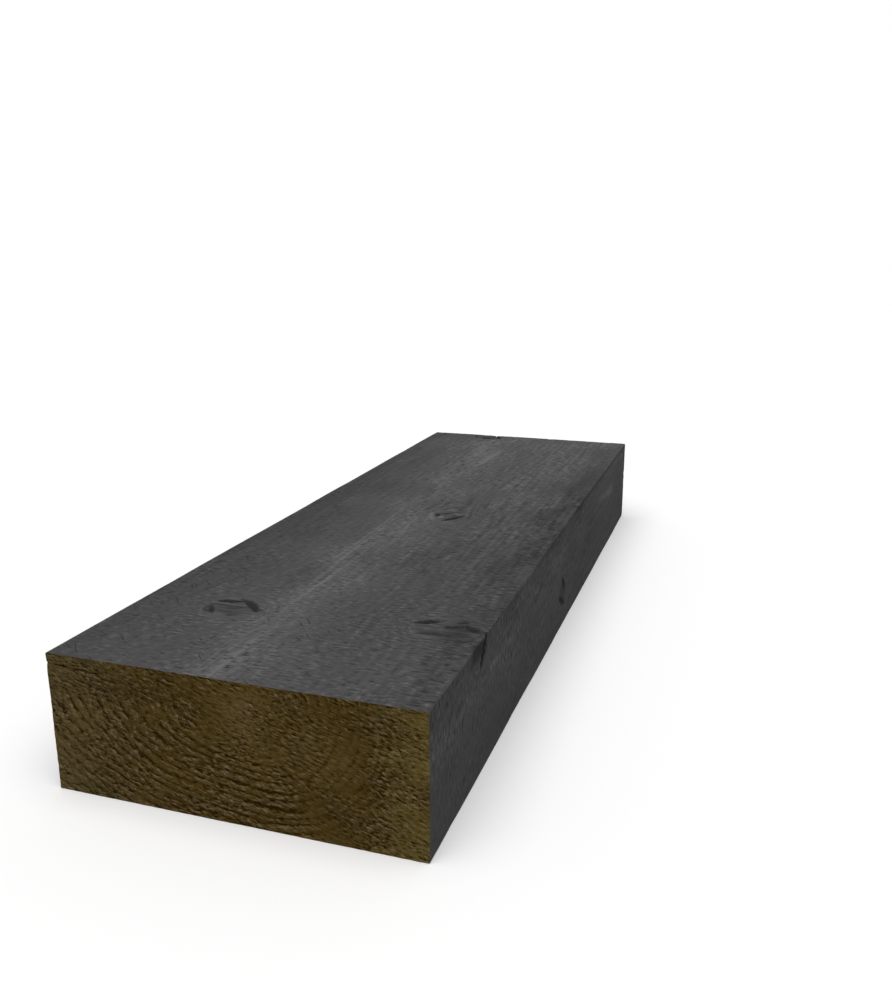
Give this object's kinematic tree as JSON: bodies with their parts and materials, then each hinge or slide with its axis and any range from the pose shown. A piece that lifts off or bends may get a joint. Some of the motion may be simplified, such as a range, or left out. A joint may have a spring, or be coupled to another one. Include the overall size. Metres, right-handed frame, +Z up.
{
  "type": "railway sleeper",
  "caption": "Short squared softwood sleeper with square-cut ends, charcoal-stained sawn faces with open knots, and bare treated end grain; laid flat for edging, steps and raised beds.",
  "frame": {"origin": "middle of the underside, midway along the length and across the width", "axes": "+Y along the grain from the near end to the far end, +X across the width to the right, +Z up through the thickness"},
  "size_m": [0.2, 0.6, 0.075],
  "materials": {
    "stained_timber": "matt charcoal stain on the sawn long faces; the cross-cut ends are bare olive-brown treated end grain"
  },
  "bodies": {
    "root": {"sleeper": "stained_timber"}
  },
  "joints": []
}
